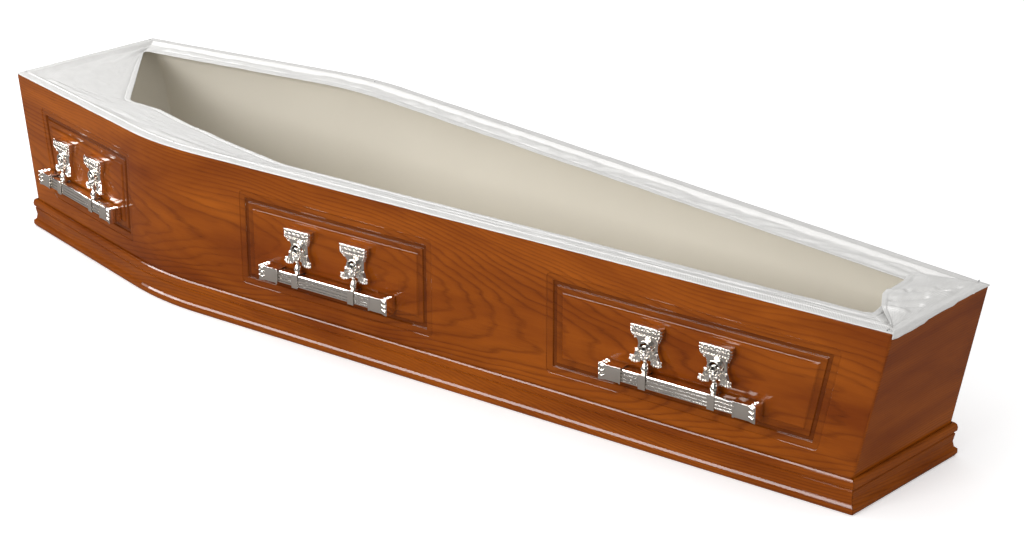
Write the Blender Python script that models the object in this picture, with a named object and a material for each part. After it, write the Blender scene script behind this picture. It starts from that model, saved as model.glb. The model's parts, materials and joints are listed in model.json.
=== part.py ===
"""Open wooden coffin with moulded side panels, plinth, six swing-bar handles and a cloth lining."""
import math

import bmesh
import bpy
from mathutils import Matrix, Vector

# Overall form: X runs from head to foot, the near side is -Y, the floor is Z = 0
LENGTH = 1.95
HEIGHT = 0.2922
SHOULDER_X = -0.4482
HALF_HEAD = 0.1651
HALF_SHOULDER = 0.2657
HALF_FOOT = 0.1261
BEND_RADIUS = 0.62
BEND_STEPS = 8
END_LEAN = 0.2063
BOARD = 0.018
BASE = 0.018
FIT = 0.0003

COS_LEAN = math.cos(math.atan(END_LEAN))
ANGLE_HEAD = math.atan((HALF_SHOULDER - HALF_HEAD) / (SHOULDER_X + LENGTH / 2))
ANGLE_FOOT = math.atan((HALF_SHOULDER - HALF_FOOT) / (LENGTH / 2 - SHOULDER_X))
HEAD_RUN = (SHOULDER_X + LENGTH / 2) / math.cos(ANGLE_HEAD)
FOOT_RUN = (LENGTH / 2 - SHOULDER_X) / math.cos(ANGLE_FOOT)
MITRE_GAP = FIT * 1.5

# Plinth moulding: how far it stands off the board, and the height above the floor
PLINTH_TOP = 0.055
PLINTH_PROFILE = ((0.0055, 0.0), (0.0085, 0.0045), (0.0085, 0.0115), (0.0042, 0.015), (0.0024, 0.024),
                  (0.0042, 0.0335), (0.0047, 0.0365), (0.003, 0.0385), (0.0066, 0.0415),
                  (0.0072, 0.047), (0.0058, 0.0525), (0.003, PLINTH_TOP))

# Moulded panels: corners along the side from the shoulder: low head, low foot, high foot, high head
PANEL_LOW = 0.081
PANEL_HIGH = 0.249
PANEL_CORNER = 0.008
PANELS = ((0.1285 - HEAD_RUN, -0.1000, -0.1000, 0.0931 - HEAD_RUN),
          (0.1946, 0.6098, 0.6098, 0.1946),
          (FOOT_RUN - 0.5937, FOOT_RUN - 0.1086, FOOT_RUN - 0.0759, FOOT_RUN - 0.5937))
PANEL_PROFILE = ((-0.0011, 0.002), (0.0008, -0.0014), (0.003, -0.0009), (0.0118, -0.0014), (0.013, -0.0042),
                 (0.0186, -0.0042), (0.0198, -0.0015), (0.0292, -0.0023), (0.030, -0.0011), (0.0362, 0.002))

# Lining
FRILL = 0.004
FRILL_DROP = 0.0085
FRILL_WIDTH = 0.044
FRILL_FOOT_FAR = 0.085
FRILL_FOOT_NEAR = 0.053
FRILL_HEAD_FAR = 0.022
FRILL_HEAD_NEAR = 0.2635
FRILL_STEPS = 18
# Extra width of the near side's frill, by its share of the way from head to foot
FRILL_SWELL = ((0.0, 0.034), (0.05, 0.052), (0.16, 0.048), (0.30, 0.0), (1.0, 0.0))
WALL_CLOTH = 0.0025
WALL_CLOTH_GAP = 0.006
FLOOR_PAD = 0.012

# Handles: places along the side, then the bar, its caps, the arms and the plates
HANDLES = {"head": 0.2563 - HEAD_RUN, "middle": 0.396, "foot": FOOT_RUN - 0.3391}
PIVOT_Z = 0.1745
PIVOT_OUT = 0.0128
BAR_DROP = 0.0525
HANDLE_LENGTH = 0.278
ARM_SPACING = 0.122
BAR_HIGH = 0.0215
BAR_DEEP = 0.018
BAR_REED = 0.0008
WALL = 0.0013
CAP_LENGTH = 0.040
CAP_RING = 0.0035
CAP_FLARE = 0.011
CAP_END = 0.004
SLEEVE = 0.013
KNOB = 0.0062
PIN = 0.0019
PIN_REACH = 0.0133
PIN_PLAY = 0.0004
NICHE = 0.0095
HOOD = 0.0028
PLATE_BACK = 0.0015
# Plate outline: height from the pivot, width, depth, all from the crown down
PLATE_LEVELS = ((0.0345, 0.050, 0.0150), (0.0200, 0.051, 0.0155), (0.0185, 0.046, 0.0135), (0.0080, 0.037, 0.0110),
                (-0.0040, 0.035, 0.0100), (-0.0150, 0.044, 0.0110), (-0.0250, 0.056, 0.0135))
PLATE_CHAMFER = 0.003


# Plan of the coffin
def bend_centre():
    """The centre of the rounded shoulder on the far side."""
    reach = BEND_RADIUS / math.cos((ANGLE_HEAD + ANGLE_FOOT) / 2)
    middle = (ANGLE_FOOT - ANGLE_HEAD) / 2
    return SHOULDER_X - reach * math.sin(middle), HALF_SHOULDER - reach * math.cos(middle)


def side_y(x, off):
    """Y of the far side at x, off metres outside its outer face."""
    cx, cy = bend_centre()
    radius = BEND_RADIUS + off
    if x < cx - radius * math.sin(ANGLE_HEAD):
        return HALF_SHOULDER + (x - SHOULDER_X) * math.tan(ANGLE_HEAD) + off / math.cos(ANGLE_HEAD)
    if x > cx + radius * math.sin(ANGLE_FOOT):
        return HALF_SHOULDER - (x - SHOULDER_X) * math.tan(ANGLE_FOOT) + off / math.cos(ANGLE_FOOT)
    return cy + math.sqrt(radius ** 2 - (x - cx) ** 2)


def bend_x(step, off):
    """X of a step of the rounded shoulder."""
    angle = -ANGLE_HEAD + (ANGLE_HEAD + ANGLE_FOOT) * step / BEND_STEPS
    return bend_centre()[0] + (BEND_RADIUS + off) * math.sin(angle)


def wall_end(end, off, z):
    """X where a wall ends at its mitre with the leaning end board: end is 1 at the foot, -1 at the head."""
    return end * (LENGTH / 2 - END_LEAN * (HEIGHT - z) + off / COS_LEAN)


def plinth_end(end, off, z):
    """X where a plinth ends: its front at the end stands upright."""
    return end * (LENGTH / 2 - END_LEAN * (HEIGHT - PLINTH_TOP) + off)


def side_frame(along, side):
    """The point on a side's outer face, along metres past the shoulder, and its outward direction."""
    angle = ANGLE_FOOT if along > 0 else -ANGLE_HEAD
    point = Vector((SHOULDER_X + along * math.cos(angle), HALF_SHOULDER - along * math.sin(angle), 0))
    out = Vector((math.sin(angle), math.cos(angle), 0))
    return Vector((point.x, side * point.y, 0)), Vector((out.x, side * out.y, 0))


# Building blocks
def material(name, colour, metallic, roughness):
    mat = bpy.data.materials.new(name)
    mat.use_nodes = True
    shader = mat.node_tree.nodes["Principled BSDF"]
    shader.inputs["Base Color"].default_value = (*colour, 1)
    shader.inputs["Metallic"].default_value = metallic
    shader.inputs["Roughness"].default_value = roughness
    return mat


def place(name, mesh, collection, matrix=None, mat=None):
    """Puts a mesh into the scene as an object of its own."""
    obj = bpy.data.objects.new(name, mesh)
    if mat:
        mesh.materials.clear()
        mesh.materials.append(mat)
    if matrix:
        obj.matrix_world = matrix
    collection.objects.link(obj)
    return obj


def loft(name, loops, ring=False, caps=None):
    """A closed mesh through loops of equal length: capped at both ends, or joined end to end as a ring."""
    bm = bmesh.new()
    rows = [[bm.verts.new(point) for point in loop] for loop in loops]
    pairs = list(zip(rows, rows[1:] + rows[:1])) if ring else list(zip(rows, rows[1:]))
    for low, high in pairs:
        for i in range(len(low)):
            j = (i + 1) % len(low)
            bm.faces.new((low[i], low[j], high[j], high[i]))
    if not ring:
        for row in (rows[0], rows[-1]):
            for cap in caps or (range(len(row)),):
                bm.faces.new([row[i] for i in cap])
    bmesh.ops.remove_doubles(bm, verts=bm.verts, dist=0.00002)
    bmesh.ops.recalc_face_normals(bm, faces=bm.faces)
    mesh = bpy.data.meshes.new(name)
    bm.to_mesh(mesh)
    bm.free()
    return mesh


def cylinder(radius, length, axis, centre, steps=12):
    """A round bar along an axis, as a temporary object."""
    turn = {"X": (0, math.pi / 2, 0), "Y": (math.pi / 2, 0, 0), "Z": (0, 0, 0)}[axis]
    bpy.ops.mesh.primitive_cylinder_add(vertices=steps, radius=radius, depth=length, location=centre, rotation=turn)
    return bpy.context.object


def ball(radius, centre):
    bpy.ops.mesh.primitive_uv_sphere_add(segments=8, ring_count=5, radius=radius, location=centre)
    return bpy.context.object


def box(size, centre):
    bpy.ops.mesh.primitive_cube_add(size=1, location=centre)
    bpy.context.object.scale = size
    return bpy.context.object


def merged(name, base, steps):
    """The mesh of a base object after its Boolean steps; the objects it was made from go."""
    for operation, other in steps:
        mod = base.modifiers.new(operation, "BOOLEAN")
        mod.operation = operation
        mod.solver = "EXACT"
        mod.object = other
    view = bpy.context.evaluated_depsgraph_get()
    mesh = bpy.data.meshes.new_from_object(base.evaluated_get(view))
    mesh.transform(base.matrix_world)
    mesh.name = name
    bm = bmesh.new()
    bm.from_mesh(mesh)
    bmesh.ops.remove_doubles(bm, verts=bm.verts, dist=0.00002)
    bmesh.ops.dissolve_limit(bm, angle_limit=0.002, verts=bm.verts, edges=bm.edges)
    bm.to_mesh(mesh)
    bm.free()
    for obj in [base] + [other for _, other in steps]:
        bpy.data.objects.remove(obj)
    return mesh


# Wooden pieces
def side_loops(section, side, end_of):
    """Loops of a piece that follows one side from head to foot, for a section of (off, z) points."""
    def point(x, off, z):
        return x, side * side_y(x, off), z

    loops = [[point(end_of(-1, off, z), off, z) for off, z in section]]
    for step in range(BEND_STEPS + 1):
        loops.append([point(bend_x(step, off), off, z) for off, z in section])
    loops.append([point(end_of(1, off, z), off, z) for off, z in section])
    return loops


def wall_section(outer, inner, low, high):
    return (outer, low), (outer, high), (inner, high), (inner, low)


def end_board(end):
    section = wall_section(0, -BOARD, 0, HEIGHT)
    loops = []
    for side in (-1, 1):
        row = []
        for off, z in section:
            x = wall_end(end, off, z)
            row.append((x, side * (side_y(x, off) - MITRE_GAP), z))
        loops.append(row)
    return loft("end_board", loops)


def end_plinth(end):
    """The plinth across an end: moulded front upright, back leaning with the board."""
    loops = []
    for side in (-1, 1):
        row = []
        for off, z in PLINTH_PROFILE:
            x = plinth_end(end, off, z)
            row.append((x, side * (side_y(x, off) - MITRE_GAP), z))
        for off, z in ((FIT, PLINTH_TOP), (FIT, 0)):
            x = plinth_end(end, off, z)
            corner = (x, side * (side_y(x, 0) - MITRE_GAP), z)
            x = wall_end(end, FIT * 2, z)
            back = (x, side * (side_y(x, 0) - MITRE_GAP), z)
            row += [corner, back] if z else [back, corner]
        loops.append(row)
    count = len(PLINTH_PROFILE)
    return loft("end_plinth", loops, caps=(list(range(count + 1)) + [count + 3], range(count, count + 4)))


def floor_loop(off, z):
    """Outline of the inside of the box at one height, off metres from the outer faces."""
    xs = [wall_end(-1, off, z)] + [bend_x(step, off) for step in range(BEND_STEPS + 1)] + [wall_end(1, off, z)]
    far = [(x, side_y(x, off), z) for x in xs]
    return far + [(x, -y, z) for x, y, z in reversed(far)]


def inset(corners, distance):
    """A panel's outline, a distance inside its corners, with its outer corners rounded."""
    points = []
    for i, corner in enumerate(corners):
        before = (corner - corners[i - 1]).normalized()
        after = (corners[(i + 1) % 4] - corner).normalized()
        first, second = Vector((-before.y, before.x)), Vector((-after.y, after.x))
        inward = (first + second) / (1 + first.dot(second))
        radius = max(PANEL_CORNER - distance, 0)
        centre = corner + inward * (distance + radius)
        for step in range(3):
            out = -first.slerp(second, step / 2)
            points.append(centre + out * radius)
    return points


def panel_cutters(side, collection):
    """The moulding round every panel of one side, as one cutter."""
    bm = bmesh.new()
    for panel in PANELS:
        heights = (PANEL_LOW, PANEL_LOW, PANEL_HIGH, PANEL_HIGH)
        corners = [Vector(corner) for corner in zip(panel, heights)]
        loops = []
        for distance, off in PANEL_PROFILE:
            loop = []
            for along, z in inset(corners, distance):
                point, out = side_frame(along, side)
                point += out * off
                loop.append((point.x, point.y, z))
            loops.append(loop)
        mesh = loft("ring", loops, ring=True)
        bm.from_mesh(mesh)
        bpy.data.meshes.remove(mesh)
    mesh = bpy.data.meshes.new("panel_cutter")
    bm.to_mesh(mesh)
    bm.free()
    cutter = place("panel_cutter", mesh, collection)
    cutter.hide_render = True
    cutter.display_type = "WIRE"
    return cutter


# Lining
def between(table, share):
    """The value that a table of (share, value) steps gives, in straight lines from step to step."""
    for (low, first), (high, second) in zip(table, table[1:]):
        if share <= high:
            return first + (second - first) * (share - low) / (high - low)
    return table[-1][1]


def frill_mesh():
    """The cloth over the rim: on the boards, then a flange inwards that is wide at the two ends."""
    low, high = HEIGHT + FIT, HEIGHT + FIT + FRILL
    inner_off = -BOARD - FRILL_WIDTH
    loops = []

    def loop(outer, middle, inner):
        drop = FRILL_DROP
        loops.append([(*outer, low), (*outer, high), (*middle, high), (*inner, high - drop), (*inner, low - drop),
                      (*middle, low)])

    def side_stations(side):
        head_x = wall_end(-1, -BOARD, HEIGHT) + (FRILL_HEAD_FAR if side > 0 else FRILL_HEAD_NEAR)
        foot_x = wall_end(1, -BOARD, HEIGHT) - (FRILL_FOOT_FAR if side > 0 else FRILL_FOOT_NEAR)
        for step in range(FRILL_STEPS + 1):
            part = step / FRILL_STEPS
            outer = wall_end(-1, 0, HEIGHT) * (1 - part) + wall_end(1, 0, HEIGHT) * part
            off = -BOARD - FIT * 5
            middle = wall_end(-1, off, HEIGHT) * (1 - part) + wall_end(1, off, HEIGHT) * part
            inner = head_x * (1 - part) + foot_x * part
            swell = between(FRILL_SWELL, part) if side < 0 else 0
            yield ((outer, side * side_y(outer, 0)), (middle, side * side_y(middle, off)),
                   (inner, side * (side_y(inner, inner_off) - swell)))

    far, near = list(side_stations(1)), list(side_stations(-1))
    for station in far:
        loop(*station)
    for start, end in ((far[-1], near[-1]),):
        for part in (0.25, 0.5, 0.75):
            loop(*(tuple(a * (1 - part) + b * part for a, b in zip(p, q)) for p, q in zip(start, end)))
    for station in reversed(near):
        loop(*station)
    for start, end in ((near[0], far[0]),):
        for part in (0.25, 0.5, 0.75):
            loop(*(tuple(a * (1 - part) + b * part for a, b in zip(p, q)) for p, q in zip(start, end)))
    return loft("rim_frill", loops, ring=True)


def wall_cloth_mesh():
    """The cloth on the inner faces of the four walls."""
    outer = -BOARD - FIT
    section = wall_section(outer, outer - WALL_CLOTH, BASE + FIT, HEIGHT - WALL_CLOTH_GAP)
    far = side_loops(section, 1, wall_end)
    near = side_loops(section, -1, wall_end)
    return loft("side_lining", far + near[::-1], ring=True)


def floor_pad_mesh():
    off = -BOARD - FIT - WALL_CLOTH - FIT
    return loft("floor_lining", [floor_loop(off, BASE + FIT), floor_loop(off, BASE + FIT + FLOOR_PAD)])


# Handles: each is drawn about its pivot, X along the side, Y outwards
def rectangle(x, high, deep):
    y, z = deep / 2, high / 2
    return [(x, -y, z - BAR_DROP), (x, y, z - BAR_DROP), (x, y, -z - BAR_DROP), (x, -y, -z - BAR_DROP)]


def bar_mesh():
    """The bar: a reeded front and a bevelled top edge."""
    y, z = BAR_DEEP / 2, BAR_HIGH / 2
    groove = BAR_REED
    front = [(y - 0.0014, z), (y, z - 0.0014)]
    for centre in (0.0045, -0.0015, -0.0065):
        front += [(y, centre + groove), (y - groove, centre), (y, centre - groove)]
    front += [(y, 0.0014 - z), (y - 0.0014, -z)]
    section = [(-y, z)] + front + [(-y, -z)]
    reach = HANDLE_LENGTH / 2 - CAP_END - FIT * 2
    return loft("bar", [[(x, a, b - BAR_DROP) for a, b in section] for x in (-reach, reach)])


def cap_mesh(end):
    """A hollow cap over one end of the bar: ring at its mouth, flared and closed at its tip."""
    bore_high, bore_deep = BAR_HIGH + 2 * FIT, BAR_DEEP + 2 * FIT
    high, deep = bore_high + 2 * WALL, bore_deep + 2 * WALL
    tip, mouth = HANDLE_LENGTH / 2, HANDLE_LENGTH / 2 - CAP_LENGTH
    rib = 0.0014
    outer = ((tip, 0.0022), (tip - 0.0015, 0.0030), (tip - CAP_FLARE + 0.002, 0.0008), (tip - CAP_FLARE, 0.0),
             (mouth + CAP_RING, 0.0), (mouth + CAP_RING, rib), (mouth, rib))
    loops = [rectangle(end * x, high + grow, deep + min(grow, 0.002)) for x, grow in outer]
    loops += [rectangle(end * x, bore_high, bore_deep) for x in (mouth, tip - CAP_END)]
    return loft("cap", loops)


def arm_mesh():
    """One arm: knob on its two pins, claw, neck, ball and the sleeve that holds the bar."""
    bore_high, bore_deep = BAR_HIGH + 2 * FIT, BAR_DEEP + 2 * FIT
    sleeve = box((SLEEVE, bore_deep + 2 * WALL, bore_high + 2 * WALL), (0, 0, -BAR_DROP))
    top = -BAR_DROP + bore_high / 2 + WALL
    claw = [[(x * wide, y * deep, z) for x, y in ((-1, -0.5), (0, -1), (1, -0.5), (1, 0.5), (0, 1), (-1, 0.5))]
            for z, wide, deep in ((0.002, 0.0050, 0.0040), (-0.009, 0.0080, 0.0060), (-0.017, 0.0060, 0.0052),
                                  (-0.0225, 0.0034, 0.0042))]
    claw = place("claw", loft("claw", claw), bpy.context.scene.collection)
    steps = [("UNION", cylinder(0.0056, 0.0050, "Z", (0, 0, top + 0.0018), 8)),
             ("DIFFERENCE", box((SLEEVE * 2, bore_deep, bore_high), (0, 0, -BAR_DROP))),
             ("UNION", ball(0.0062, (0, 0, top + 0.0062))),
             ("UNION", cylinder(0.0028, 0.0150, "Z", (0, 0, -0.0250), 8)),
             ("UNION", claw),
             ("UNION", cylinder(KNOB, 2 * KNOB, "Y", (0, 0, 0), 8)),
             ("UNION", cylinder(PIN, 2 * PIN_REACH, "X", (0, 0, 0), 8))]
    return merged("arm", sleeve, steps)


def plate_mesh():
    """One plate: crown, bell and skirt, a hooded niche for the knob and slots for its pins."""
    back = -PIVOT_OUT + FIT
    loops = []
    for z, wide, deep in PLATE_LEVELS:
        x, y, c = wide / 2, deep - PIVOT_OUT, PLATE_CHAMFER
        loops.append([(-x, back, z), (-x, y - c, z), (-x + c, y, z), (x - c, y, z), (x, y - c, z), (x, back, z)])
    body = place("plate", loft("plate", loops), bpy.context.scene.collection)
    front = PIN + PIN_PLAY + 0.0016
    floor = PLATE_BACK - PIVOT_OUT
    low = PLATE_LEVELS[-1][0] - 0.002
    slot = PIN + PIN_PLAY
    hood_back = back + 0.002
    steps = [("UNION", cylinder(NICHE + HOOD, front - hood_back, "Y", (0, (front + hood_back) / 2, 0), 12)),
             ("DIFFERENCE", cylinder(NICHE, 0.04, "Y", (0, floor + 0.02, 0), 12)),
             ("DIFFERENCE", box((2 * NICHE, 0.04, -low), (0, floor + 0.02, low / 2))),
             ("DIFFERENCE", box((2 * PIN_REACH + 0.001, 0.02, 2 * slot), (0, -0.01, 0))),
             ("DIFFERENCE", cylinder(slot, 2 * PIN_REACH + 0.001, "X", (0, 0, 0), 8))]
    return merged("plate", body, steps)


# Assembly
def build():
    for obj in list(bpy.data.objects):
        bpy.data.objects.remove(obj)
    coffin = bpy.data.collections.new("coffin")
    cutters = bpy.data.collections.new("cutters")
    for collection in (coffin, cutters):
        bpy.context.scene.collection.children.link(collection)
    wood = material("wood", (0.36, 0.12, 0.03), 0, 0.15)
    nickel = material("nickel", (0.78, 0.77, 0.74), 1, 0.12)
    satin = material("satin", (0.88, 0.89, 0.88), 0, 0.45)
    cream = material("cream_cloth", (0.80, 0.79, 0.70), 0, 0.8)

    for name, side in (("near", -1), ("far", 1)):
        section = wall_section(0, -BOARD, 0, HEIGHT)
        board = place(f"side_board_{name}", loft("side_board", side_loops(section, side, wall_end)), coffin, mat=wood)
        groove = board.modifiers.new("panels", "BOOLEAN")
        groove.solver = "EXACT"
        groove.object = panel_cutters(side, cutters)
        profile = PLINTH_PROFILE + ((FIT, PLINTH_TOP), (FIT, 0))
        plinth = loft("plinth", side_loops(profile, side, plinth_end))
        place(f"plinth_{name}", plinth, coffin, mat=wood)
    for name, end in (("head", -1), ("foot", 1)):
        place(f"end_board_{name}", end_board(end), coffin, mat=wood)
        place(f"plinth_{name}", end_plinth(end), coffin, mat=wood)
    base = [floor_loop(-BOARD - FIT, z) for z in (0, BASE)]
    place("base_board", loft("base_board", base), coffin, mat=wood)
    place("rim_frill", frill_mesh(), coffin, mat=satin)
    place("side_lining", wall_cloth_mesh(), coffin, mat=cream)
    place("floor_lining", floor_pad_mesh(), coffin, mat=cream)

    bar, arm, plate = bar_mesh(), arm_mesh(), plate_mesh()
    caps = cap_mesh(-1), cap_mesh(1)
    for side_name, side in (("near", -1), ("far", 1)):
        for place_name, along in HANDLES.items():
            point, out = side_frame(along, side)
            point = point + out * PIVOT_OUT + Vector((0, 0, PIVOT_Z))
            across = out.cross(Vector((0, 0, 1)))
            turn = Matrix((across, out, (0, 0, 1))).transposed().to_4x4()
            pivot = Matrix.Translation(point) @ turn
            handle = f"{side_name}_{place_name}"
            place(f"bar_{handle}", bar, coffin, pivot, nickel)
            for number, end in ((1, -1), (2, 1)):
                shift = pivot @ Matrix.Translation((end * ARM_SPACING / 2, 0, 0))
                place(f"bar_cap_{handle}_{number}", caps[number - 1], coffin, pivot, nickel)
                place(f"arm_{handle}_{number}", arm, coffin, shift, nickel)
                place(f"handle_plate_{handle}_{number}", plate, coffin, shift, nickel)


build()
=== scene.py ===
"""Look-dev of the open wooden coffin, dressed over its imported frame."""
import json
import math

import bmesh
import bpy
from mathutils import Matrix, Vector, noise


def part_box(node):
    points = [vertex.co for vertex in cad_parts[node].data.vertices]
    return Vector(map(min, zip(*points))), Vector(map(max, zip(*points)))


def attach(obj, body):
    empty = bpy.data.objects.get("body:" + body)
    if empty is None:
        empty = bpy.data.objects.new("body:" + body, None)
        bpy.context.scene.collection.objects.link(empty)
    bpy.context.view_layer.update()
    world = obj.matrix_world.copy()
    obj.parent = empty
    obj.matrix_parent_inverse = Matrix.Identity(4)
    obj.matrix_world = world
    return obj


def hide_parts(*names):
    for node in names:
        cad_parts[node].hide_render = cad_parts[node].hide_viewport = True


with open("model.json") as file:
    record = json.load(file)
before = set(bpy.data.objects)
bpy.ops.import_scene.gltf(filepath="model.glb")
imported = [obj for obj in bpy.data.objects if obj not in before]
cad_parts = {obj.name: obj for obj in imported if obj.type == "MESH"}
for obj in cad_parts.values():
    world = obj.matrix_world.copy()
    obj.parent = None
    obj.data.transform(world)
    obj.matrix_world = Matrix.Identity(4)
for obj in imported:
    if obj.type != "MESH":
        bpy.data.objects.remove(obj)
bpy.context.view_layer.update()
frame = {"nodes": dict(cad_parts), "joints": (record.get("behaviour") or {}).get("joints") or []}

# Sizes of the box, in metres, as the frame has them
BOARD_LOW, BOARD_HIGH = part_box("side_board_near")
LENGTH = BOARD_HIGH.x - BOARD_LOW.x
HEIGHT = BOARD_HIGH.z
END_LEAN = 0.2063
COS_LEAN = math.cos(math.atan(END_LEAN))
SHOULDER_X = -0.4482
HALF_HEAD = 0.1651
HALF_SHOULDER = 0.2657
HALF_FOOT = 0.1261
BEND_RADIUS = 0.62
BOARD = 0.018
ANGLE_HEAD = math.atan((HALF_SHOULDER - HALF_HEAD) / (SHOULDER_X + LENGTH / 2))
ANGLE_FOOT = math.atan((HALF_SHOULDER - HALF_FOOT) / (LENGTH / 2 - SHOULDER_X))

# Eased edges of the wood
CORNER_ROUND = 0.0045
MOULDING_EASE = 0.0009
PLINTH_EASE = 0.0010
BASE_EASE = 0.001

# Depth of a groove that takes all of the painted shade, the deepest that is still a groove, and how far the
# grooves stay from the mitres
GROOVE_FULL = 0.004
GROOVE_LIMIT = 0.006
GROOVE_END = 0.02

# Cloth
FRILL_WIDTH = 0.044
FRILL_FOOT_FAR = 0.085
FRILL_FOOT_NEAR = 0.053
FRILL_HEAD_FAR = 0.022
FRILL_HEAD_NEAR = 0.2635
FRILL_DROP = 0.0085
# Extra width of the near side's frill, by its share of the way from head to foot
FRILL_SWELL = ((0.0, 0.034), (0.05, 0.052), (0.16, 0.048), (0.30, 0.0), (1.0, 0.0))
HEM = 0.015
# Width of the satin that lies on the board tops, and the height of its upper face there
ON_BOARD = 0.0205
RIM_TOP = HEIGHT + 0.0016
SATIN_THICK = 0.0008
CREAM_THICK = 0.0010
# Points round the frill: along a side, across the foot end and across the head end
SIDE_STEPS = 480
FOOT_STEPS = 64
HEAD_STEPS = 110
# Points across the frill, in from the outer edge: on the board tops, then in equal steps to the hem
ON_TOP_STEPS = (-0.0003, 0.0002, 0.0010, 0.003, 0.007, 0.011, 0.015, 0.0178, 0.0188, 0.0196, 0.0204, 0.0222)
FLANGE_STEPS = 18
# Steps of the satin's UVs from row to row across it, and along the foot flap
UV_ACROSS = 0.0026
UV_ALONG = 0.0017
# Points of the wall cloth along a side and down it
WALL_STEPS = 150
WALL_LEVELS = 22
# Floor pad: its gap to the wall, its points along a side, and its edge as inset and height
PAD_GAP = 0.0042
PAD_STEPS = 60
PAD_EDGE = ((0.004, 0.0002), (0.0012, 0.002), (0.0, 0.005), (0.0010, 0.008), (0.004, 0.0105), (0.010, 0.0118),
            (0.025, 0.0124), (0.050, 0.0128), (0.085, 0.0130))
# Nails of the lining in the plan, two at each foot corner and one at each head corner and shoulder
NAILS = ((0.9657, -0.1217), (0.9660, -0.1262), (0.9578, 0.1236), (0.9595, 0.1200), (-0.9650, -0.1507),
         (-0.9650, 0.1507), (-0.4235, -0.2427), (-0.4235, 0.2427))

# Handles, drawn about the pivot: X along the side, Y outwards
BAR_DROP = 0.0525
ARM_SPACING = 0.122

# Photograph's camera
CAMERA_PLACE = (2.6257, -2.716, 1.5573)
CAMERA_YAW = 42.41
CAMERA_PITCH = 21.11
CAMERA_ROLL = -0.06
CAMERA_LENS = 83.07
CAMERA_SENSOR = 36


# Small helpers for selecting, finishing and placing pieces
def in_scene(name, data):
    """A new object of a mesh, light or camera."""
    obj = bpy.data.objects.new(name, data)
    bpy.context.scene.collection.objects.link(obj)
    return obj


def from_faces(name, bm):
    """A new object from finished faces, which are freed."""
    mesh = bpy.data.meshes.new(name)
    bm.to_mesh(mesh)
    bm.free()
    return in_scene(name, mesh)


def only(obj):
    """Selects one object alone, makes it active and sets edit mode to work on faces."""
    if bpy.context.object and bpy.context.object.mode != "OBJECT":
        bpy.ops.object.mode_set(mode="OBJECT")
    bpy.ops.object.select_all(action="DESELECT")
    obj.select_set(True)
    bpy.context.view_layer.objects.active = obj
    bpy.context.tool_settings.mesh_select_mode = (False, False, True)


def edit_faces(obj, rule=None):
    """Opens an object in edit mode with the faces selected that a rule picks, or else all of them."""
    only(obj)
    bpy.ops.object.mode_set(mode="EDIT")
    bpy.ops.mesh.select_all(action="DESELECT" if rule else "SELECT")
    if rule:
        bpy.ops.object.mode_set(mode="OBJECT")
        for face in obj.data.polygons:
            face.select = rule(face)
        bpy.ops.object.mode_set(mode="EDIT")


def place_in_mesh(obj):
    only(obj)
    bpy.ops.object.transform_apply(location=True, rotation=True, scale=True)
    return obj


def finish_with(obj, kind, **settings):
    """Adds a modifier and applies it."""
    only(obj)
    mod = obj.modifiers.new(kind.lower(), kind)
    for name, value in settings.items():
        setattr(mod, name, value)
    bpy.ops.object.modifier_apply(modifier=mod.name)
    return obj


def smooth(obj, degrees):
    only(obj)
    bpy.ops.object.shade_smooth_by_angle(angle=math.radians(degrees))
    return obj


def eased(obj, width, degrees=25, segments=3):
    """Rounds the edges sharper than an angle, and smooths the rest."""
    finish_with(obj, "BEVEL", width=width, segments=segments, limit_method="ANGLE",
                angle_limit=math.radians(degrees))
    return smooth(obj, 40)


def joined(name, parts):
    """Several objects as one, under a new name."""
    only(parts[0])
    for part in parts[1:]:
        part.select_set(True)
    bpy.ops.object.join()
    parts[0].name = name
    parts[0].data.name = name
    return parts[0]


def copied(obj, matrix):
    """A copy with its own mesh, its place in the mesh."""
    twin = obj.copy()
    twin.data = obj.data.copy()
    bpy.context.scene.collection.objects.link(twin)
    twin.data.transform(matrix)
    return twin


def remove(*objs):
    for obj in objs:
        bpy.data.objects.remove(obj)


def dress(obj, name, mat, slot, body, *nodes):
    """Names a finished piece, gives it its material and body, and hides the CAD nodes that it stands in for.
    """
    obj.name = name
    obj.data.name = name
    obj.data.materials.clear()
    obj.data.materials.append(mat)
    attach(obj, body)
    if nodes:
        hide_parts(*nodes)


def carried(node):
    """A merged copy of a CAD node's mesh."""
    obj = in_scene(node, frame["nodes"][node].data.copy())
    edit_faces(obj)
    bpy.ops.mesh.remove_doubles(threshold=0.00003)
    bpy.ops.mesh.dissolve_limited(angle_limit=math.radians(0.4))
    bpy.ops.object.mode_set(mode="OBJECT")
    return obj


def ball(size, place, turn=(0, 0, 0), segments=12, rings=8):
    bpy.ops.mesh.primitive_uv_sphere_add(segments=segments, ring_count=rings, radius=1, location=place,
                                         rotation=turn)
    obj = bpy.context.object
    obj.scale = size if hasattr(size, "__len__") else (size, size, size)
    return smooth(place_in_mesh(obj), 180)


def rod(radius, length, place, turn=(0, 0, 0), sides=20, ease=0.0003):
    """A round bar along its own Z with eased ends."""
    bpy.ops.mesh.primitive_cylinder_add(vertices=sides, radius=radius, depth=length, location=place,
                                        rotation=turn)
    return eased(place_in_mesh(bpy.context.object), ease, 50, 2)


def ring(radius, thick, place, turn=(0, 0, 0), around=28, across=8):
    bpy.ops.mesh.primitive_torus_add(major_radius=radius, minor_radius=thick, major_segments=around,
                                     minor_segments=across, location=place, rotation=turn)
    return smooth(place_in_mesh(bpy.context.object), 180)


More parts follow.
